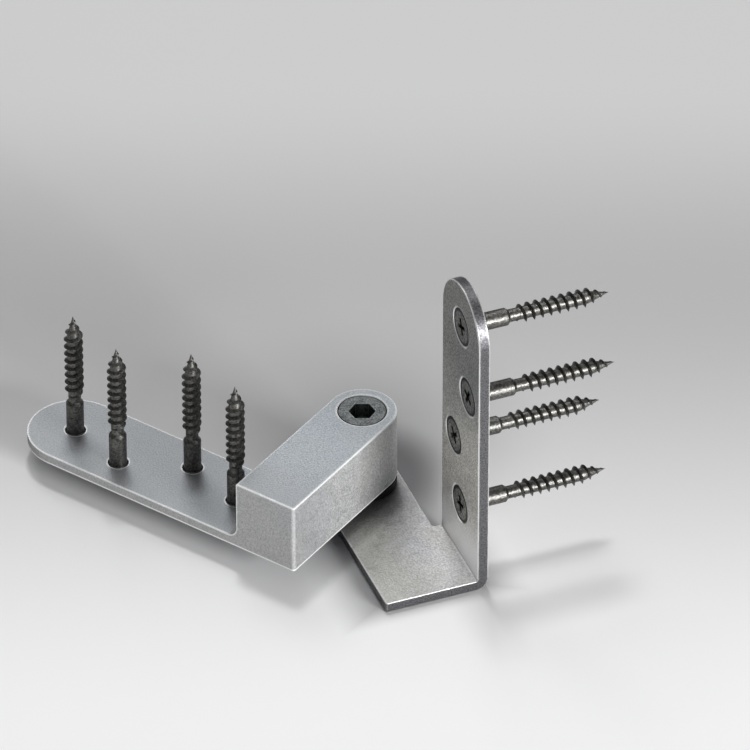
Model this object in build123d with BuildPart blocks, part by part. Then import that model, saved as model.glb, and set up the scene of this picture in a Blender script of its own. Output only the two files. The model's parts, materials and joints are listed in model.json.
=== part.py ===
from build123d import *
import os
from math import cos, radians, tan

# Lower pivot of an offset-hung door, millimetres, +Z up.
# A folded sheet bracket is let into the jamb: its leaf takes four staggered screws, and its
# foot carries a riveted pin. The door arm stands on that pin through a steel ball, and turns
# on it in a bush. The arm is one casting: a round knuckle, a bar flush with the door's hinge
# edge, and a leg let into the door's bottom. A socket screw in the knuckle sets the height.
# Origin: the pivot axis at the underside of the foot. +X points into the jamb, and the
# closed arm's leg points along -X. The arm is drawn turned open by rest_angle.

# Folded bracket
sheet = 3.0
leaf_width = 25.0
foot_width = 25.0  # from the leaf's face to the free long edge
leaf_to_axis = 12.7  # from the leaf's face to the pivot axis
near_edge_to_axis = 48.6  # from the bracket's near end to the pivot axis
relief = 2.4  # how far the foot beyond the leaf stands back from the leaf's face
relief_corner = 0.8
bend_inner = 0.5
foot_corner = 0.5

# Rows of screw holes: offsets across the row, as shares of the stagger
row_offsets = (0, -1, 1, 0)
stagger = 4.6
leaf_pitch = 19.0  # also from the underside of the foot to the lowest hole
leg_pitch = 17.0
leg_first_hole = 9.0  # from the bar's inner side

# Countersunk wood screws, all alike
sink_angle = 90.0  # of every countersink and of the screws' heads
shank_diameter = 4.6
shank_plain = 9.0  # length below the head without thread
shank_taper = 0.8  # length over which the shank narrows to the core
thread_diameter = 5.0
core_diameter = 3.3  # under the thread
head_diameter = 10.0
head_rim = 0.25  # straight edge above the head's cone
head_sunk = 0.1  # from the face to the top of the head
screw_length = 40.0
point_length = 6.0
cross_span = 4.6
cross_slot = 1.0
cross_depth = 2.6
cross_floor_span = 1.4  # of the recess at its floor
cross_floor_slot = 0.5
hole_clearance = 0.25  # round the thread
seat_clearance = 0.05  # between the head's cone and its seat

# Door arm
knuckle_radius = 9.0
arm_height = 20.5
arm_reach = 43.3  # from the pivot axis to the bar's near end
leg_thickness = 3.0
leg_width = 25.0
leg_fillet = 3.0
bar_corner = 0.8
edge_break = 0.3
rest_angle = 56.0

# Pivot
running_gap = 3.0  # from the foot to the underside of the arm
pin_diameter = 10.0
pin_chamfer = 0.5
rivet_diameter = 8.0
rivet_spread = 1.0
rivet_clearance = 0.02
washer_slack = 0.2  # between the washer and the arm
washer_clearance = 0.2  # round the pin
bush_wall = 1.5
bush_length = 8.5
bush_chamfer = 0.3
press_clearance = 0.02  # between the bush and the knuckle
running_clearance = 0.05  # on the radius of the pin and of the height screw
ball_diameter = 6.0
ball_clearance = 0.1
pin_cup = 2.3  # how deep the ball sits in the pin
screw_cup = 0.8  # how deep the ball sits in the height screw
height_screw_diameter = 12.7
height_screw_length = 8.0
height_screw_sunk = 0.2  # from the knuckle's top to the screw's top
height_screw_chamfer = 0.3
hexagon_across = 6.0
hexagon_depth = 4.4
hexagon_turn = -21.0  # direction of one of its corners
hexagon_mouth = 0.15
drill_cone = 1.2
knuckle_mouth = 0.2

# Sizes that follow
nearly = 0.01  # for choosing edges by where they lie
near_y = -near_edge_to_axis
leaf_centre_y = near_y + leaf_width / 2
leaf_far_y = near_y + leaf_width
leaf_arc_z = leaf_pitch * len(row_offsets)
leaf_back_x = leaf_to_axis + sheet
free_edge_x = leaf_to_axis - foot_width
relief_x = leaf_to_axis - relief
arm_bottom = sheet + running_gap
arm_top = arm_bottom + arm_height
height_screw_top = arm_top - height_screw_sunk
height_screw_bottom = height_screw_top - height_screw_length
ball_radius = ball_diameter / 2
ball_z = height_screw_bottom + screw_cup - ball_radius
pin_top = ball_z - ball_radius + pin_cup
pin_radius = pin_diameter / 2
bush_inner = pin_radius + running_clearance
bush_outer = bush_inner + bush_wall
thread_bore = height_screw_diameter / 2 + running_clearance
shank_radius = shank_diameter / 2
hole_radius = thread_diameter / 2 + hole_clearance
head_radius = head_diameter / 2
sink_slope = tan(radians(sink_angle / 2))
head_cone = (head_radius - shank_radius) / sink_slope
sink_gap = seat_clearance / cos(radians(sink_angle / 2))
sink_radius = head_radius + (head_rim + head_sunk) * sink_slope + sink_gap
leg_row_x = -knuckle_radius - leg_first_hole
leg_end_x = leg_row_x - leg_pitch * (len(row_offsets) - 1)
leg_row_y = leg_width / 2 - arm_reach

# Planes: the leaf's face looks along -X, and the closed door's own axes are turned with it
leaf_face = Plane((leaf_to_axis, leaf_centre_y, 0), x_dir=(0, -1, 0), z_dir=(-1, 0, 0))
door = Plane.XY.rotated((0, 0, -rest_angle))
arm_floor = door.offset(arm_bottom)
door_x = Axis((0, 0, 0), door.x_dir)
door_y = Axis((0, 0, 0), door.y_dir)
leg_face = Plane(arm_floor.from_local_coords((0, leg_row_y, 0)), door.x_dir, (0, 0, -1))


def screw_row(face, first, pitch, along, turns):
    """Places of one row of screws on a face, with the turn of each cross recess."""
    places = []
    for i, (offset, turn) in enumerate(zip(row_offsets, turns)):
        place = Vector(offset * stagger, first + pitch * i)
        if along == "x":
            place = Vector(-place.Y, place.X)
        places.append(face.location * Location((place.X, place.Y, 0), (0, 0, turn)))
    return places


leaf_holes = screw_row(leaf_face, leaf_pitch, leaf_pitch, "y", (12, 38, 65, 20))
leg_holes = screw_row(leg_face, -leg_row_x, leg_pitch, "x", (10, 50, 80, 30))

# Folded bracket: leaf and foot from one sheet
with BuildPart() as jamb_bracket:
    with BuildSketch(leaf_face):
        with Locations((0, leaf_arc_z / 2)):
            Rectangle(leaf_width, leaf_arc_z)
        with Locations((0, leaf_arc_z)):
            Circle(leaf_width / 2)
    extrude(amount=-sheet)
    with BuildSketch():
        Circle(-free_edge_x)
        with Locations((free_edge_x, near_y)):
            Rectangle(foot_width + sheet, near_edge_to_axis, align=(Align.MIN, Align.MIN))
        with Locations((relief_x, leaf_far_y)):
            Rectangle(foot_width, -free_edge_x - leaf_far_y, align=Align.MIN, mode=Mode.SUBTRACT)
    extrude(amount=sheet)
    along_fold = jamb_bracket.edges().filter_by(Axis.Y)
    inside_fold = along_fold.filter_by_position(Axis.X, leaf_to_axis - nearly, leaf_to_axis + nearly)
    outside_fold = along_fold.filter_by_position(Axis.X, leaf_back_x - nearly, leaf_back_x + nearly)
    fillet(inside_fold.sort_by(Axis.Z)[0], bend_inner)
    fillet(outside_fold.sort_by(Axis.Z)[0], bend_inner + sheet)
    upright = jamb_bracket.edges().filter_by(Axis.Z).filter_by(lambda e: e.length <= sheet)
    fillet(upright.group_by(Axis.Y)[0], foot_corner)
    relief_edge = upright.filter_by_position(Axis.Y, leaf_far_y - nearly, leaf_far_y + nearly)
    fillet(relief_edge, relief_corner)
    fold_lines = jamb_bracket.edges().filter_by(Axis.Y).filter_by_position(
        Axis.X, relief_x + relief_corner + nearly, leaf_back_x + nearly
    )
    through = jamb_bracket.edges().filter_by(lambda e: abs(e.length - sheet) < nearly)
    fillet(jamb_bracket.edges() - fold_lines - through, edge_break)
    with Locations(*leaf_holes):
        CounterSinkHole(hole_radius, sink_radius, counter_sink_angle=sink_angle)
    with Locations(Plane.XY.rotated((180, 0, 0))):
        CounterSinkHole(
            rivet_diameter / 2 + rivet_clearance,
            rivet_diameter / 2 + rivet_spread + rivet_clearance,
            counter_sink_angle=sink_angle,
        )

# One wood screw, head up at the origin
with BuildPart() as wood_screw:
    with BuildSketch(Plane.XZ):
        with BuildLine():
            Polyline(
                (0, 0),
                (head_radius, 0),
                (head_radius, -head_rim),
                (shank_radius, -head_rim - head_cone),
                (shank_radius, -head_rim - head_cone - shank_plain),
                (core_diameter / 2, -head_rim - head_cone - shank_plain - shank_taper),
                (core_diameter / 2, point_length - screw_length),
                (0, -screw_length),
                close=True,
            )
        make_face()
    revolve(axis=Axis.Z)
    for turn in (0, 90):
        top = Plane.XY.rotated((0, 0, turn))
        with BuildSketch(top):
            Rectangle(cross_span, cross_slot)
        with BuildSketch(top.offset(-cross_depth)):
            Rectangle(cross_floor_span, cross_floor_slot)
        loft(mode=Mode.SUBTRACT)

head_top = Location((0, 0, -head_sunk))
with BuildPart() as jamb_screws:
    with Locations(*[hole * head_top for hole in leaf_holes]):
        add(wood_screw.part)

with BuildPart() as door_screws:
    with Locations(*[hole * head_top for hole in leg_holes]):
        add(wood_screw.part)

# Pin, riveted over in the foot, with a cup for the ball in its top
with BuildPart() as pivot_pin:
    with BuildSketch(Plane.XZ):
        with BuildLine():
            Polyline(
                (0, 0),
                (rivet_diameter / 2 + rivet_spread, 0),
                (rivet_diameter / 2, rivet_spread / sink_slope),
                (rivet_diameter / 2, sheet),
                (pin_radius, sheet),
                (pin_radius, pin_top - pin_chamfer),
                (pin_radius - pin_chamfer, pin_top),
                (0, pin_top),
                close=True,
            )
        make_face()
    revolve(axis=Axis.Z)
    with Locations((0, 0, ball_z)):
        Sphere(ball_radius + ball_clearance, mode=Mode.SUBTRACT)

with BuildPart() as spacer_washer:
    with BuildSketch(Plane.XY.offset(sheet)):
        Circle(knuckle_radius)
        Circle(pin_radius + washer_clearance, mode=Mode.SUBTRACT)
    extrude(amount=running_gap - washer_slack)
    outer_edges = spacer_washer.edges().filter_by(GeomType.CIRCLE).group_by(SortBy.RADIUS)[-1]
    chamfer(outer_edges, edge_break)

with BuildPart() as bearing_ball:
    with Locations((0, 0, ball_z)):
        Sphere(ball_radius)

with BuildPart() as pivot_bush:
    with BuildSketch(arm_floor):
        Circle(bush_outer)
        Circle(bush_inner, mode=Mode.SUBTRACT)
    extrude(amount=bush_length)
    chamfer(pivot_bush.edges().filter_by(GeomType.CIRCLE), bush_chamfer)

# Socket screw that stands on the ball and carries the door
with BuildPart() as height_screw:
    with BuildSketch(Plane.XY.offset(height_screw_bottom)):
        Circle(height_screw_diameter / 2)
    extrude(amount=height_screw_length)
    chamfer(height_screw.edges().filter_by(GeomType.CIRCLE), height_screw_chamfer)
    socket_floor = height_screw_top - hexagon_depth
    with BuildSketch(Plane.XY.offset(height_screw_top)):
        RegularPolygon(hexagon_across / 2, 6, major_radius=False, rotation=hexagon_turn)
    extrude(amount=-hexagon_depth, mode=Mode.SUBTRACT)
    at_top = height_screw.faces().sort_by(Axis.Z)[-1].edges()
    chamfer(at_top.filter_by(GeomType.LINE), hexagon_mouth)
    with Locations((0, 0, socket_floor - drill_cone / 2)):
        Cone(0, hexagon_across / 2, drill_cone, mode=Mode.SUBTRACT)
    with Locations((0, 0, ball_z)):
        Sphere(ball_radius + ball_clearance, mode=Mode.SUBTRACT)

# Door arm: knuckle and bar, then the leg along the door's bottom
with BuildPart() as door_arm:
    with BuildSketch(arm_floor):
        Circle(knuckle_radius)
        Rectangle(2 * knuckle_radius, arm_reach, align=(Align.CENTER, Align.MAX))
    extrude(amount=arm_height)
    with BuildSketch(arm_floor):
        with Locations((leg_end_x, leg_row_y)):
            Circle(leg_width / 2)
            Rectangle(-leg_end_x, leg_width, align=(Align.MIN, Align.CENTER))
    extrude(amount=leg_thickness)
    leg_top = arm_bottom + leg_thickness
    at_leg_top = door_arm.edges().filter_by_position(Axis.Z, leg_top - nearly, leg_top + nearly)
    fillet(at_leg_top.filter_by(door_y).sort_by(door_x)[-1], leg_fillet)
    full_height = door_arm.edges().filter_by(lambda e: abs(e.length - arm_height) < nearly)
    fillet(full_height.sort_by(door_y)[0], bar_corner)
    rims = door_arm.faces().sort_by(Axis.Z)[-1].edges() + door_arm.faces().sort_by(Axis.Z)[0].edges()
    fillet(rims, edge_break)
    with Locations(*leg_holes):
        CounterSinkHole(hole_radius, sink_radius, counter_sink_angle=sink_angle)
    with BuildSketch(arm_floor):
        Circle(bush_outer + press_clearance)
    extrude(amount=bush_length + press_clearance, mode=Mode.SUBTRACT)
    with Locations((0, 0, arm_top)):
        CounterSinkHole(thread_bore, thread_bore + knuckle_mouth, arm_height, sink_angle)

pieces = {
    "jamb_bracket": jamb_bracket,
    "jamb_screws": jamb_screws,
    "pivot_pin": pivot_pin,
    "spacer_washer": spacer_washer,
    "bearing_ball": bearing_ball,
    "height_screw": height_screw,
    "door_arm": door_arm,
    "pivot_bush": pivot_bush,
    "door_screws": door_screws,
}
os.makedirs("parts", exist_ok=True)
for name, piece in pieces.items():
    piece.part.label = name
    export_step(piece.part, f"parts/{name}.step")
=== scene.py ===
import json
import math

import bpy
from mathutils import Matrix, Vector


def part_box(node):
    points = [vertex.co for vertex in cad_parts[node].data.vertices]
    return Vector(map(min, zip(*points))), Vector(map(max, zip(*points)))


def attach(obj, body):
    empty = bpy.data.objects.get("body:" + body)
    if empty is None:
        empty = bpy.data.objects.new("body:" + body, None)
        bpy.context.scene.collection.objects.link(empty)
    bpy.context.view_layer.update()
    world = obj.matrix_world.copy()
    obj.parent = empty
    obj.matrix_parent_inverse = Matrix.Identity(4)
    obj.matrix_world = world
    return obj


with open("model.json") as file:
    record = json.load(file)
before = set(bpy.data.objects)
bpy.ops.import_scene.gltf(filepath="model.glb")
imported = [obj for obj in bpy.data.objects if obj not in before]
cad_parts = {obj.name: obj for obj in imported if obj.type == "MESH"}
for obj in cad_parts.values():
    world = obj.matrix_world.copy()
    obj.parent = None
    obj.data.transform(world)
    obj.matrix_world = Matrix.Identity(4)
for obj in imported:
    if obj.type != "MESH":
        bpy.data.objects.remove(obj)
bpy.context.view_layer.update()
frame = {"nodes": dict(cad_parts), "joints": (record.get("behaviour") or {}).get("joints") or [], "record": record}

MM = 0.001

# Camera: a long lens from above and to the left
CAMERA_AZIMUTH = 21.23
CAMERA_ELEVATION = 38.08
CAMERA_DISTANCE = 2533 * MM
CAMERA_LENS = 470.6
CAMERA_CLIP = 50
AIM = Vector((9.76, 15.99, 23.53)) * MM

# Wood screw thread, which the CAD screws leave plain
THREAD_PITCH = 2.3 * MM
THREAD_TURNS = 11
THREAD_STEPS = 24
THREAD_START = 0.9 * MM
THREAD_ROOT = 1.5 * MM
CREST_RADIUS = 2.5 * MM
POINT_LENGTH = 6.0 * MM
CORNERS_HEIGHT = 1.5  # a three-cornered ring's height, for a radius of 1
SMOOTH_ANGLE = math.radians(40)

# Folded bracket
LEAF_FACE = 12.7 * MM
SHEET = 3.0 * MM
BEND_INNER = 0.5 * MM
LEAF_FAR_EDGE = -24 * MM

# Arm: the fillet above its leg, which is no rim, lies between these heights
FILLET_BOTTOM = 8.9 * MM
FILLET_TOP = 12.1 * MM

# Rows of wood screws: steps along the row, and the side that each screw is set off to
ROW = ((-1.5, 0), (-0.5, 1), (0.5, -1), (1.5, 0))
STAGGER = 4.6 * MM
LEAF_PITCH = 19.0 * MM
LEG_PITCH = 17.0 * MM

# How squarely a face looks along an axis, 0 to 1
ON_EDGE = 0.4
NEARLY_SQUARE = 0.9
SQUARE = 0.95

mounts = {mount["name"]: mount for mount in frame["record"]["mounts"]}
swing = next(joint for joint in frame["joints"] if joint["name"] == "door_swing")
OPEN_ANGLE = math.radians(-swing["range_deg"][0])


def deselect_all():
    bpy.ops.object.select_all(action="DESELECT")
    bpy.context.view_layer.objects.active = None


def screw_points():
    """Points of the two rows of wood screws, from the centres of the mounts' circles."""
    jamb = Vector(mounts["jamb_screws_outer"]["pos_m"])
    jamb.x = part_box("jamb_screws")[1].x
    door = Vector(mounts["door_screws_outer"]["pos_m"])
    door.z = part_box("door_screws")[1].z
    along = Vector((-math.cos(OPEN_ANGLE), math.sin(OPEN_ANGLE), 0))
    across = Vector((math.sin(OPEN_ANGLE), math.cos(OPEN_ANGLE), 0))
    up, far = Vector((0, 0, 1)), Vector((0, 1, 0))
    jamb_points = [jamb + up * step * LEAF_PITCH + far * side * STAGGER for step, side in ROW]
    door_points = [door + along * step * LEG_PITCH + across * side * STAGGER for step, side in ROW]
    return jamb_points, door_points


# Shared shader effects


def new_group(name, inputs, outputs):
    """A shader node group with number inputs (name, value) and outputs (name)."""
    group = bpy.data.node_groups.new(name, "ShaderNodeTree")
    kind = "NodeSocketFloat"
    for label, value in inputs:
        socket = group.interface.new_socket(name=label, in_out="INPUT", socket_type=kind)
        socket.default_value = value
    for label in outputs:
        group.interface.new_socket(name=label, in_out="OUTPUT", socket_type=kind)
    return group, group.nodes.new("NodeGroupInput"), group.nodes.new("NodeGroupOutput")


def add_node(tree, kind, **settings):
    node = tree.nodes.new(kind)
    for key, value in settings.items():
        setattr(node, key, value)
    return node


def feed(tree, socket, value):
    """Gives a socket a number or a link."""
    if isinstance(value, (int, float)):
        socket.default_value = value
    else:
        tree.links.new(value, socket)


def work_out(tree, operation, first, second=0.0, clamp=False):
    node = add_node(tree, "ShaderNodeMath", operation=operation, use_clamp=clamp)
    feed(tree, node.inputs[0], first)
    feed(tree, node.inputs[1], second)
    return node.outputs[0]


def both(tree, first, second):
    return work_out(tree, "MULTIPLY", first, second)


def either(tree, first, second):
    return work_out(tree, "MAXIMUM", first, second)


def spread(tree, value, low, high, start=0.0, end=1.0):
    """Maps a value that runs from start to end onto low to high, and no further."""
    node = add_node(tree, "ShaderNodeMapRange")
    feed(tree, node.inputs["Value"], value)
    for label, number in (
        ("From Min", start), ("From Max", end), ("To Min", low), ("To Max", high),
    ):
        node.inputs[label].default_value = number
    return node.outputs["Result"]


def smooth_step(tree, value, start, end):
    """0 at start, 1 at end, and smooth between."""
    node = add_node(tree, "ShaderNodeMapRange", interpolation_type="SMOOTHSTEP")
    tree.links.new(value, node.inputs["Value"])
    node.inputs["From Min"].default_value = start
    node.inputs["From Max"].default_value = end
    return node.outputs["Result"]


def noise_patches(tree, place, size, detail):
    """Noise from 0 to 1 whose patches are about size metres across."""
    node = add_node(tree, "ShaderNodeTexNoise")
    node.inputs["Detail"].default_value = detail
    tree.links.new(place, node.inputs["Vector"])
    tree.links.new(work_out(tree, "DIVIDE", 1.0, size), node.inputs["Scale"])
    return spread(tree, node.outputs["Fac"], 0.0, 1.0, start=0.32, end=0.68)


def blasted_grain_group():
    """Bead-blasted metal: fine pits, a coarser mottle and slow clouds of shade."""
    sizes = [("Grain Size", 0.6 * MM), ("Mottle Size", 2.2 * MM), ("Cloud Size", 16 * MM)]
    details = {"Grain": 1.5, "Mottle": 3.0, "Cloud": 2.0}
    group, entry, leave = new_group("blasted_grain", sizes, list(details))
    place = add_node(group, "ShaderNodeTexCoord").outputs["Object"]
    for label, detail in details.items():
        patches = noise_patches(group, place, entry.outputs[f"{label} Size"], detail)
        group.links.new(patches, leave.inputs[label])
    return group


def edge_band_group():
    """1 along edges where the surface turns within Width, 0 on open faces, uneven along them; painted highlight,
    wear or painted shadow is laid with it.
    """
    inputs = [("Width", 0.3 * MM), ("Wear Size", 3 * MM)]
    group, entry, leave = new_group("edge_band", inputs, ["Mask"])
    bevel = add_node(group, "ShaderNodeBevel", samples=6)
    geometry = add_node(group, "ShaderNodeNewGeometry")
    dot = add_node(group, "ShaderNodeVectorMath", operation="DOT_PRODUCT")
    group.links.new(entry.outputs["Width"], bevel.inputs["Radius"])
    group.links.new(bevel.outputs["Normal"], dot.inputs[0])
    group.links.new(geometry.outputs["Normal"], dot.inputs[1])
    turned = work_out(group, "SUBTRACT", 1.0, dot.outputs["Value"])
    place = add_node(group, "ShaderNodeTexCoord").outputs["Object"]
    wear = noise_patches(group, place, entry.outputs["Wear Size"], detail=2.0)
    strength = spread(group, wear, low=12.0, high=26.0)
    worn = work_out(group, "MULTIPLY", turned, strength, clamp=True)
    group.links.new(worn, leave.inputs["Mask"])
    return group


def broken_edge_group():
    """1 half way round an edge's small radius, 0 where the face looks along or across the axis."""
    group, entry, leave = new_group("broken_edge", [("Facing", 0.0)], ["Mask"])
    squared = both(group, entry.outputs["Facing"], entry.outputs["Facing"])
    rest = work_out(group, "SUBTRACT", 1.0, squared)
    half_way = both(group, both(group, squared, rest), 4.0)
    mask = spread(group, half_way, 0.0, 1.0, start=0.15, end=0.8)
    group.links.new(mask, leave.inputs["Mask"])
    return group


def recess_shade_group():
    """Painted shade mask: 1 deep in recesses and inside corners, 0 in the open."""
    inputs = [("Reach", 2.5 * MM), ("Start", 0.9)]
    group, entry, leave = new_group("recess_shade", inputs, ["Mask"])
    shade = add_node(group, "ShaderNodeAmbientOcclusion", samples=8, only_local=True)
    group.links.new(entry.outputs["Reach"], shade.inputs["Distance"])
    covered = work_out(group, "SUBTRACT", entry.outputs["Start"], shade.outputs["AO"])
    group.links.new(work_out(group, "MULTIPLY", covered, 3.0, clamp=True), leave.inputs["Mask"])
    return group


GRAIN = blasted_grain_group()
# A mask along edges, for painted highlights with some wear, and for painted shadow on the screw heads
EDGE = edge_band_group()
BROKEN = broken_edge_group()
# A mask for painted shade in recesses and inside corners
SHADE_IN_RECESSES = recess_shade_group()


# Materials


def new_material(name, metallic=0.0):
    material = bpy.data.materials.new(name)
    material.use_nodes = True
    shader = material.node_tree.nodes["Principled BSDF"]
    shader.inputs["Metallic"].default_value = metallic
    return material, material.node_tree, shader


def place_group(tree, group, **values):
    node = add_node(tree, "ShaderNodeGroup", node_tree=group)
    for key, value in values.items():
        feed(tree, node.inputs[key.replace("_", " ")], value)
    return node.outputs


def edge_band_mask(tree, width):
    return place_group(tree, EDGE, Width=width)["Mask"]


def broken_edge(tree, facing):
    return place_group(tree, BROKEN, Facing=facing)["Mask"]


def mix_colour(tree, factor, first, second):
    """A colour mix; each colour is a link or a tuple."""
    node = add_node(tree, "ShaderNodeMix", data_type="RGBA")
    feed(tree, node.inputs["Factor"], factor)
    for label, value in (("A", first), ("B", second)):
        socket = next(s for s in node.inputs if s.name == label and s.type == "RGBA")
        if isinstance(value, tuple):
            socket.default_value = (*value, 1)
        else:
            tree.links.new(value, socket)
    return next(s for s in node.outputs if s.type == "RGBA")


def draw_towards(tree, colour, target, mask, amount):
    """The colour, drawn by an amount towards another where the mask is 1."""
    return mix_colour(tree, both(tree, mask, amount), colour, target)


def blasted_finish(tree, shader, grain, along_edges, colour, roughness, pits, polish=0.15):
    """Roughness and fine relief that all the blasted finishes share."""
    uneven = 0.05
    tree.links.new(colour, shader.inputs["Base Color"])
    rough = spread(tree, grain["Mottle"], roughness - uneven, roughness + uneven)
    smoother = both(tree, along_edges, polish)
    tree.links.new(work_out(tree, "SUBTRACT", rough, smoother), shader.inputs["Roughness"])
    relief = add_node(tree, "ShaderNodeBump")
    relief.inputs["Strength"].default_value = pits
    relief.inputs["Distance"].default_value = 0.05 * MM
    tree.links.new(grain["Grain"], relief.inputs["Height"])
    tree.links.new(relief.outputs["Normal"], shader.inputs["Normal"])


def grain_shade(tree, grain):
    """0 to 1: mostly fine grain, the rest mottle."""
    fine = both(tree, grain["Grain"], 0.8)
    coarse = both(tree, grain["Mottle"], 0.2)
    return work_out(tree, "ADD", fine, coarse, clamp=True)


def satin_steel(name, dark, light, edge, roughness, pits, recess_shade_colour):
    """Blasted metal: grain from dark to light, edges painted lighter as highlight and wear, and painted shade in
    recesses.
    """
    material, tree, shader = new_material(name, metallic=1.0)
    grain = place_group(tree, GRAIN)
    along_edges = edge_band_mask(tree, width=0.1 * MM)
    recess = place_group(tree, SHADE_IN_RECESSES)["Mask"]
    colour = mix_colour(tree, grain_shade(tree, grain), dark, light)
    # painted highlight along the edges, partly wear
    colour = mix_colour(tree, along_edges, colour, edge)
    # painted shade in recesses and inside corners
    colour = mix_colour(tree, recess, colour, recess_shade_colour)
    blasted_finish(tree, shader, grain, along_edges, colour, roughness, pits)
    return material


def split_facing(tree):
    """The piece's own coordinates, and how squarely the surface faces each axis, 0 to 1."""
    coordinates = add_node(tree, "ShaderNodeTexCoord")
    place = add_node(tree, "ShaderNodeSeparateXYZ")
    normal = add_node(tree, "ShaderNodeSeparateXYZ")
    tree.links.new(coordinates.outputs["Object"], place.inputs[0])
    tree.links.new(coordinates.outputs["Normal"], normal.inputs[0])
    facing = {axis: work_out(tree, "ABSOLUTE", normal.outputs[axis]) for axis in "XYZ"}
    return place.outputs, facing


def distance_across(tree, place, axis, centres=(Vector(),)):
    """Distance from the nearest of some lines along an axis; the pivot's own line by default."""
    nearest = None
    for centre in centres:
        flat = add_node(tree, "ShaderNodeCombineXYZ")
        away = add_node(tree, "ShaderNodeVectorMath", operation="DISTANCE")
        for index, letter in enumerate("XYZ"):
            if letter != axis:
                tree.links.new(place[letter], flat.inputs[letter])
                away.inputs[1].default_value[index] = centre[index]
        tree.links.new(flat.outputs[0], away.inputs[0])
        value = away.outputs["Value"]
        nearest = value if nearest is None else work_out(tree, "MINIMUM", nearest, value)
    return nearest


def sheet_masks(tree, place, facing):
    """Masks of the bracket: its cut sheet edges, the small radii along them, and its leaf."""
    in_foot = work_out(tree, "LESS_THAN", place["X"], LEAF_FACE - BEND_INNER)
    in_leaf = work_out(tree, "GREATER_THAN", place["Z"], SHEET + BEND_INNER)
    foot_cut = both(tree, in_foot, work_out(tree, "LESS_THAN", facing["Z"], ON_EDGE))
    leaf_cut = both(tree, in_leaf, work_out(tree, "LESS_THAN", facing["X"], ON_EDGE))
    ends = work_out(tree, "GREATER_THAN", facing["Y"], NEARLY_SQUARE)
    cut = either(tree, ends, either(tree, foot_cut, leaf_cut))
    foot_edge = both(tree, in_foot, broken_edge(tree, facing["Z"]))
    leaf_edge = both(tree, in_leaf, broken_edge(tree, facing["X"]))
    in_fold = work_out(tree, "SUBTRACT", 1.0, either(tree, in_foot, in_leaf))
    fold_edge = both(tree, in_fold, broken_edge(tree, facing["Y"]))
    edge = either(tree, either(tree, foot_edge, leaf_edge), fold_edge)
    return cut, edge, in_leaf


def foot_colour(tree, grain, place):
    """Warm and cool clouds, with painted shade towards the free edge and round the pivot."""
    warm_dark, cool_dark = (0.38, 0.372, 0.35), (0.37, 0.37, 0.38)
    warm_light, cool_light = (0.68, 0.672, 0.645), (0.68, 0.685, 0.715)
    outer_shade, pivot_shade = (0.32, 0.32, 0.295), (0.12, 0.12, 0.12)
    dark = mix_colour(tree, grain["Cloud"], warm_dark, cool_dark)
    light = mix_colour(tree, grain["Cloud"], warm_light, cool_light)
    colour = mix_colour(tree, grain_shade(tree, grain), dark, light)
    # painted shade towards the foot's free edge
    outward = smooth_step(tree, place["X"], start=9 * MM, end=-7 * MM)
    colour = draw_towards(tree, colour, outer_shade, outward, amount=0.5)
    # painted shade round the pivot, where the knuckle shades the foot
    from_pivot = distance_across(tree, place, "Z")
    near_pivot = smooth_step(tree, from_pivot, start=24 * MM, end=9 * MM)
    return draw_towards(tree, colour, pivot_shade, near_pivot, amount=0.6)


def leaf_colour(tree, grain, place):
    """Painted shade dark at the top, and a painted reflection of the foot lighter lower down and nearly white in
    the fold.
    """
    high_dark, low_dark = (0.09, 0.09, 0.085), (0.35, 0.341, 0.318)
    high_light, low_light = (0.48, 0.48, 0.465), (1.0, 0.975, 0.91)
    white = (1.0, 1.0, 1.0)
    # painted shade high up, painted reflection of the foot lower down
    low = smooth_step(tree, place["Z"], start=68 * MM, end=38 * MM)
    dark = mix_colour(tree, low, high_dark, low_dark)
    light = mix_colour(tree, low, high_light, low_light)
    colour = mix_colour(tree, grain_shade(tree, grain), dark, light)
    # painted reflection of the foot near the fold
    near_fold = smooth_step(tree, place["Z"], start=26 * MM, end=6 * MM)
    return draw_towards(tree, colour, white, near_fold, amount=0.85)


def bracket_finish(name):
    """Blasted sheet with darker cut edges, partly painted shade, and a painted highlight, partly wear, along their
    corners.
    """
    cut_dark, cut_light = (0.075, 0.075, 0.08), (0.185, 0.185, 0.195)
    edge_dull, edge_bright = (0.57, 0.57, 0.56), (1.0, 1.0, 0.99)
    recess_shade_colour = (0.1, 0.1, 0.105)
    material, tree, shader = new_material(name, metallic=0.85)
    grain = place_group(tree, GRAIN, Grain_Size=0.45 * MM)
    recess = place_group(tree, SHADE_IN_RECESSES, Reach=0.5 * MM, Start=0.85)["Mask"]
    place, facing = split_facing(tree)
    cut_mask, edge_mask, leaf_mask = sheet_masks(tree, place, facing)
    # the edge band carries a painted highlight
    edge_mask = either(tree, edge_mask, edge_band_mask(tree, width=0.5 * MM))
    foot = foot_colour(tree, grain, place)
    leaf = leaf_colour(tree, grain, place)
    faces = mix_colour(tree, leaf_mask, foot, leaf)
    # Cut edges: darker sheared steel, partly painted shade
    cut = mix_colour(tree, grain["Grain"], cut_dark, cut_light)
    colour = mix_colour(tree, cut_mask, faces, cut)
    # Painted highlight along the edges, brighter on the leaf and beyond its far edge; partly worn metal
    past_leaf = work_out(tree, "GREATER_THAN", place["Y"], LEAF_FAR_EDGE)
    bright = mix_colour(tree, either(tree, leaf_mask, past_leaf), edge_dull, edge_bright)
    colour = mix_colour(tree, edge_mask, colour, bright)
    # painted shade in the fold and inside corners
    colour = mix_colour(tree, recess, colour, recess_shade_colour)
    blasted_finish(tree, shader, grain, edge_mask, colour, roughness=0.42, pits=0.4, polish=0.0)
    return material


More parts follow.
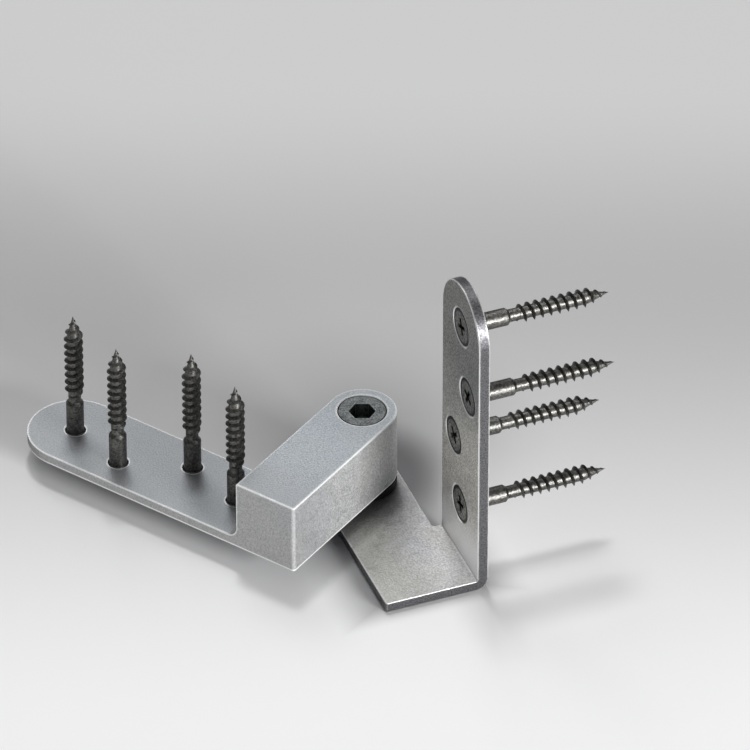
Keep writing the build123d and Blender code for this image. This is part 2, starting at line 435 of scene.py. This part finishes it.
def arm_rims(tree, place, facing, upright):
    """The arm's rims, painted bright as highlight and wear: round its top, its leg and its underside."""
    rim = broken_edge(tree, facing["Z"])
    below = work_out(tree, "LESS_THAN", place["Z"], FILLET_BOTTOM)
    above = work_out(tree, "GREATER_THAN", place["Z"], FILLET_TOP)
    rim = both(tree, rim, either(tree, below, above))
    rim = either(tree, rim, edge_band_mask(tree, width=0.8 * MM))
    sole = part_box("door_arm")[0].z
    # the lip just above the sole takes the painted highlight too
    lip = smooth_step(tree, place["Z"], start=sole + 0.75 * MM, end=sole + 0.45 * MM)
    return either(tree, rim, both(tree, lip, upright))


def casting_finish(name):
    """Blasted casting with painted highlights and wear on its rims and painted shades on its faces, which shines
    little at a glancing angle.
    """
    warm_dark, cool_dark = (0.35, 0.35, 0.343), (0.33, 0.34, 0.35)
    warm_light, cool_light = (0.72, 0.72, 0.7), (0.69, 0.705, 0.72)
    bluish, shaded, outer_shade = (0.24, 0.3, 0.365), (0.16, 0.16, 0.157), (0.33, 0.33, 0.33)
    rim_bright, recess_shade_colour = (0.93, 0.94, 0.94), (0.1, 0.1, 0.105)
    material, tree, shader = new_material(name)
    grain = place_group(tree, GRAIN, Grain_Size=0.45 * MM, Mottle_Size=2 * MM)
    recess = place_group(tree, SHADE_IN_RECESSES, Reach=0.9 * MM, Start=0.8)["Mask"]
    place, facing = split_facing(tree)
    upright = work_out(tree, "LESS_THAN", facing["Z"], NEARLY_SQUARE)
    rim = arm_rims(tree, place, facing, upright)
    dark = mix_colour(tree, grain["Cloud"], warm_dark, cool_dark)
    light = mix_colour(tree, grain["Cloud"], warm_light, cool_light)
    colour = mix_colour(tree, grain_shade(tree, grain), dark, light)
    # painted cool shade on the level faces
    level = work_out(tree, "GREATER_THAN", facing["Z"], SQUARE)
    colour = draw_towards(tree, colour, bluish, level, amount=0.4)
    from_pivot = distance_across(tree, place, "Z")
    # painted shade on the upright faces near the pivot
    inward = smooth_step(tree, from_pivot, start=26 * MM, end=8 * MM)
    colour = draw_towards(tree, colour, shaded, both(tree, inward, upright), amount=0.24)
    # painted shade towards the arm's far end
    outward = smooth_step(tree, from_pivot, start=24 * MM, end=42 * MM)
    colour = draw_towards(tree, colour, outer_shade, outward, amount=0.45)
    # painted highlight on the rims, partly wear
    colour = mix_colour(tree, rim, colour, rim_bright)
    # painted shade in recesses and inside corners
    colour = mix_colour(tree, recess, colour, recess_shade_colour)
    tree.links.new(spread(tree, rim, 0.55, 0.25), shader.inputs["Metallic"])
    shader.inputs["Specular Tint"].default_value = (0.1, 0.1, 0.1, 1)
    blasted_finish(tree, shader, grain, rim, colour, roughness=0.48, pits=0.6)
    return material


def wood_screw_finish(name, axis, centres):
    """Dark steel along an axis; the head is coarser, painted darker higher up as shade, and its rim and recess are
    painted black as shadow.
    """
    shank_dark, shank_light = (0.06, 0.059, 0.056), (0.2, 0.197, 0.185)
    face_dark, face_light = (0.01, 0.01, 0.009), (0.5, 0.49, 0.455)
    dim, black, recess_shade_colour = (0.05, 0.048, 0.042), (0.012, 0.012, 0.012), (0.02, 0.02, 0.02)
    material, tree, shader = new_material(name, metallic=1.0)
    grain = place_group(tree, GRAIN, Grain_Size=0.55 * MM)
    along_edges = edge_band_mask(tree, width=0.5 * MM)
    recess = place_group(tree, SHADE_IN_RECESSES)["Mask"]
    place, facing = split_facing(tree)
    head = work_out(tree, "GREATER_THAN", facing[axis], SQUARE)
    from_centre = distance_across(tree, place, axis, centres)
    ring = smooth_step(tree, from_centre, start=4.0 * MM, end=4.4 * MM)
    shank = mix_colour(tree, grain_shade(tree, grain), shank_dark, shank_light)
    face = mix_colour(tree, grain_shade(tree, grain), face_dark, face_light)
    # painted shade on the heads higher up
    high = smooth_step(tree, place["Z"], start=38 * MM, end=72 * MM)
    face = draw_towards(tree, face, dim, high, amount=0.35)
    # painted shadow round the head's rim and along its edges
    face = mix_colour(tree, either(tree, along_edges, ring), face, black)
    colour = mix_colour(tree, head, shank, face)
    # painted shade in the recess
    colour = mix_colour(tree, recess, colour, recess_shade_colour)
    blasted_finish(tree, shader, grain, along_edges, colour, roughness=0.42, pits=0.5, polish=0.0)
    return material


def socket_finish(name):
    """Dark steel, with a painted highlight, partly wear, along the hexagon's edges, painted shadow in a black ring
    where it meets the bore, and painted shade inside.
    """
    dark, light = (0.055, 0.06, 0.06), (0.26, 0.28, 0.28)
    edge, black, recess_shade_colour = (0.66, 0.7, 0.7), (0.012, 0.012, 0.012), (0.008, 0.008, 0.008)
    material, tree, shader = new_material(name, metallic=1.0)
    grain = place_group(tree, GRAIN, Grain_Size=0.45 * MM)
    along_edges = edge_band_mask(tree, width=0.25 * MM)
    recess = place_group(tree, SHADE_IN_RECESSES, Start=0.62)["Mask"]
    place = split_facing(tree)[0]
    colour = mix_colour(tree, grain_shade(tree, grain), dark, light)
    # painted highlight along the edges, partly wear
    colour = mix_colour(tree, along_edges, colour, edge)
    from_pivot = distance_across(tree, place, "Z")
    # painted shadow where the screw meets the bore
    ring = smooth_step(tree, from_pivot, start=5.75 * MM, end=6.2 * MM)
    colour = draw_towards(tree, colour, black, ring, amount=0.85)
    # painted shade inside the socket
    colour = mix_colour(tree, recess, colour, recess_shade_colour)
    blasted_finish(tree, shader, grain, along_edges, colour, roughness=0.45, pits=0.4)
    return material


def moulded_black(name):
    dark, light, worn = (0.006, 0.006, 0.006), (0.012, 0.012, 0.012), (0.03, 0.03, 0.03)
    material, tree, shader = new_material(name)
    grain = place_group(tree, GRAIN, Grain_Size=0.3 * MM)
    along_edges = edge_band_mask(tree, width=0.1 * MM)
    colour = mix_colour(tree, grain["Mottle"], dark, light)
    colour = mix_colour(tree, along_edges, colour, worn)
    blasted_finish(tree, shader, grain, along_edges, colour, roughness=0.5, pits=0.1)
    shader.inputs["Specular IOR Level"].default_value = 0.15
    return material


def polished_ball(name):
    material, tree, shader = new_material(name, metallic=1.0)
    grain = place_group(tree, GRAIN, Mottle_Size=0.5 * MM, Cloud_Size=3 * MM)
    colour = mix_colour(tree, grain["Cloud"], (0.66, 0.66, 0.68), (0.8, 0.8, 0.82))
    tree.links.new(colour, shader.inputs["Base Color"])
    tree.links.new(spread(tree, grain["Mottle"], 0.06, 0.14), shader.inputs["Roughness"])
    return material


jamb_points, door_points = screw_points()
jamb_screw_steel = wood_screw_finish("jamb_screw_steel", "X", jamb_points)
door_screw_steel = wood_screw_finish("door_screw_steel", "Z", door_points)
pin_steel = satin_steel(
    "pin_steel", dark=(0.48, 0.48, 0.49), light=(0.6, 0.6, 0.61), edge=(0.75, 0.75, 0.75),
    roughness=0.3, pits=0.1, recess_shade_colour=(0.2, 0.2, 0.2),
)
bush_brass = satin_steel(
    "bush_brass", dark=(0.55, 0.4, 0.19), light=(0.72, 0.54, 0.29), edge=(0.85, 0.68, 0.4),
    roughness=0.35, pits=0.15, recess_shade_colour=(0.3, 0.2, 0.1),
)

FINISHES = {
    "jamb_bracket": bracket_finish("bracket_steel"),
    "door_arm": casting_finish("arm_steel"),
    "jamb_screws": jamb_screw_steel,
    "door_screws": door_screw_steel,
    "pivot_pin": pin_steel,
    "height_screw": socket_finish("socket_steel"),
    "pivot_bush": bush_brass,
    "spacer_washer": moulded_black("washer_plastic"),
    "bearing_ball": polished_ball("ball_steel"),
}
for node, finish in FINISHES.items():
    for slot in frame["nodes"][node].material_slots:
        slot.material = finish


# Wood screw threads


def select_points(thread, points):
    """Leaves the thread in edit mode with only the numbered points selected."""
    bpy.ops.object.mode_set(mode="EDIT")
    bpy.ops.mesh.select_all(action="DESELECT")
    bpy.ops.object.mode_set(mode="OBJECT")
    for point in points:
        thread.data.vertices[point].select = True
    bpy.ops.object.mode_set(mode="EDIT")


def draw_in(thread, points, factor, height, flatten=1.0):
    """Draws the numbered points in towards the screw's axis."""
    select_points(thread, points)
    bpy.ops.transform.resize(value=(factor, factor, flatten), center_override=(0, 0, height))
    bpy.ops.object.mode_set(mode="OBJECT")


def close_end(thread, points):
    select_points(thread, points)
    bpy.ops.mesh.edge_face_add()
    bpy.ops.object.mode_set(mode="OBJECT")


def wind_thread(name):
    """A three-cornered strip wound round the Z axis at its full size."""
    deselect_all()
    size = (CREST_RADIUS - THREAD_ROOT) / CORNERS_HEIGHT
    bpy.ops.mesh.primitive_circle_add(
        vertices=3, radius=size, fill_type="NOTHING",
        location=(THREAD_ROOT + size / 2, 0, THREAD_START), rotation=(math.pi / 2, math.pi / 2, 0),
    )
    thread = bpy.context.object
    thread.name = name
    bpy.ops.object.transform_apply(location=True, rotation=True, scale=True)
    turns = thread.modifiers.new("turns", "SCREW")
    turns.axis = "Z"
    turns.iterations = THREAD_TURNS
    turns.screw_offset = THREAD_PITCH
    turns.steps = turns.render_steps = THREAD_STEPS
    bpy.ops.object.modifier_apply(modifier=turns.name)
    return thread


def wood_thread(name):
    """One helical thread round the Z axis, its point near the origin, its head end up."""
    thread = wind_thread(name)
    steps = THREAD_TURNS * THREAD_STEPS
    for step in range(steps + 1):
        height = THREAD_START + THREAD_PITCH * step / THREAD_STEPS
        corners = [3 * step, 3 * step + 1, 3 * step + 2]
        if height < POINT_LENGTH:
            grown = height / POINT_LENGTH
            draw_in(thread, corners, grown, height, flatten=0.5 + grown / 2)
        left = (steps - step) / THREAD_STEPS
        if left < 1:
            crest = max(corners, key=lambda point: thread.data.vertices[point].co.xy.length)
            kept = (THREAD_ROOT + (CREST_RADIUS - THREAD_ROOT) * left) / CREST_RADIUS
            draw_in(thread, [crest], kept, height)
    close_end(thread, [0, 1, 2])
    close_end(thread, [3 * steps, 3 * steps + 1, 3 * steps + 2])
    bpy.ops.object.mode_set(mode="EDIT")
    bpy.ops.mesh.select_all(action="SELECT")
    bpy.ops.mesh.normals_make_consistent(inside=False)
    bpy.ops.object.mode_set(mode="OBJECT")
    bpy.ops.object.shade_smooth_by_angle(angle=SMOOTH_ANGLE)
    return thread


def place_thread(model, name, point, direction, finish, body):
    """A copy of the thread with its point at a place, driven in along a direction."""
    copy = model.copy()
    copy.data = model.data.copy()
    copy.name = name
    bpy.context.collection.objects.link(copy)
    turn = Vector((0, 0, -1)).rotation_difference(direction).to_matrix().to_4x4()
    copy.data.transform(Matrix.Translation(point) @ turn)
    copy.data.materials.clear()
    copy.data.materials.append(finish)
    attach(copy, body)


thread_model = wood_thread("thread_model")
into_jamb, into_door = Vector((1, 0, 0)), Vector((0, 0, 1))
for i, (jamb, door) in enumerate(zip(jamb_points, door_points), start=1):
    jamb_name, door_name = f"jamb_screw_thread_{i}", f"door_screw_thread_{i}"
    place_thread(thread_model, jamb_name, jamb, into_jamb, jamb_screw_steel, "bracket")
    place_thread(thread_model, door_name, door, into_door, door_screw_steel, "arm")
bpy.data.objects.remove(thread_model)


# Floor, light and camera


def paper_colour(tree):
    """Painted shade: greyer towards the back, and painted soft shadows where the part stands."""
    front, middle, back = (0.95, 0.95, 0.95), (0.49, 0.49, 0.49), (0.64, 0.64, 0.64)
    beside = (0.36, 0.36, 0.365)
    spots = (
        ((9 * MM, 23 * MM, 0), (0.36, 0.36, 0.363), 0, 55 * MM),
        ((2 * MM, 6 * MM, 0), (0.15, 0.15, 0.154), 13 * MM, 27 * MM),
    )
    place = add_node(tree, "ShaderNodeTexCoord").outputs["Object"]
    along_view = add_node(tree, "ShaderNodeVectorMath", operation="DOT_PRODUCT")
    azimuth = math.radians(CAMERA_AZIMUTH)
    along_view.inputs[1].default_value = (math.sin(azimuth), math.cos(azimuth), 0)
    tree.links.new(place, along_view.inputs[0])
    depth = along_view.outputs["Value"]
    # painted shade, darkest just behind the part
    to_middle = smooth_step(tree, depth, start=-100 * MM, end=90 * MM)
    paper = mix_colour(tree, to_middle, front, middle)
    to_back = smooth_step(tree, depth, start=90 * MM, end=180 * MM)
    paper = mix_colour(tree, to_back, paper, back)
    axes = add_node(tree, "ShaderNodeSeparateXYZ")
    tree.links.new(place, axes.inputs[0])
    flat = axes.outputs
    sideways = distance_across(tree, flat, "Y")
    # painted shadow beside the foot
    beside_foot = smooth_step(tree, sideways, start=11 * MM, end=27 * MM)
    before_foot = smooth_step(tree, flat["Y"], start=-44 * MM, end=-54 * MM)
    behind_foot = smooth_step(tree, flat["Y"], start=-15 * MM, end=15 * MM)
    open_paper = either(tree, beside_foot, either(tree, before_foot, behind_foot))
    paper = mix_colour(tree, open_paper, beside, paper)
    # painted shadows behind the pivot
    for centre, dark, inner, outer in spots:
        away = distance_across(tree, flat, "Z", (centre,))
        paper = mix_colour(tree, smooth_step(tree, away, inner, outer), dark, paper)
    return paper


def pale_floor():
    deselect_all()
    bpy.ops.mesh.primitive_plane_add(size=8, location=(0, 0, -0.1 * MM))
    floor = bpy.context.object
    floor.name = "floor"
    material, tree, shader = new_material("floor_paper")
    tree.links.new(paper_colour(tree), shader.inputs["Base Color"])
    shader.inputs["Roughness"].default_value = 0.9
    shader.inputs["Specular IOR Level"].default_value = 0.1
    floor.data.materials.append(material)


def area_light(name, location, size, energy):
    """A square lamp that looks at the middle of the part."""
    light = bpy.data.lights.new(name, "AREA")
    light.shape = "SQUARE"
    light.size = size
    light.energy = energy
    lamp = bpy.data.objects.new(name, light)
    lamp.location = location
    aim = Vector((0, 0, 20 * MM)) - lamp.location
    lamp.rotation_euler = aim.to_track_quat("-Z", "Y").to_euler()
    bpy.context.collection.objects.link(lamp)


def studio_world():
    """A dim room, brighter overhead."""
    low_grey, high_grey = (0.05, 0.05, 0.052), (0.26, 0.26, 0.265)
    world = bpy.data.worlds.new("studio")
    bpy.context.scene.world = world
    world.use_nodes = True
    tree = world.node_tree
    direction = add_node(tree, "ShaderNodeTexCoord").outputs["Generated"]
    height = add_node(tree, "ShaderNodeSeparateXYZ")
    tree.links.new(direction, height.inputs[0])
    up = smooth_step(tree, height.outputs["Z"], start=0.0, end=0.6)
    colour = mix_colour(tree, up, low_grey, high_grey)
    tree.links.new(colour, tree.nodes["Background"].inputs["Color"])


def camera():
    lens = bpy.data.cameras.new("camera")
    lens.lens = CAMERA_LENS
    lens.clip_end = CAMERA_CLIP
    viewer = bpy.data.objects.new("camera", lens)
    azimuth, elevation = math.radians(CAMERA_AZIMUTH), math.radians(CAMERA_ELEVATION)
    ahead = Vector((
        math.cos(elevation) * math.sin(azimuth),
        math.cos(elevation) * math.cos(azimuth),
        -math.sin(elevation),
    ))
    viewer.location = AIM - ahead * CAMERA_DISTANCE
    viewer.rotation_euler = (math.pi / 2 - elevation, 0, -azimuth)
    bpy.context.collection.objects.link(viewer)
    bpy.context.scene.camera = viewer


pale_floor()
area_light("key", location=(0.05, 0.3, 1.1), size=0.15, energy=3.6)
area_light("sheen", location=(0, 0.75, 0.95), size=0.5, energy=2.5)
area_light("front", location=(1.0, -2.4, 0.68), size=0.8, energy=88.0)
studio_world()
camera()
bpy.context.scene.view_settings.view_transform = "Standard"
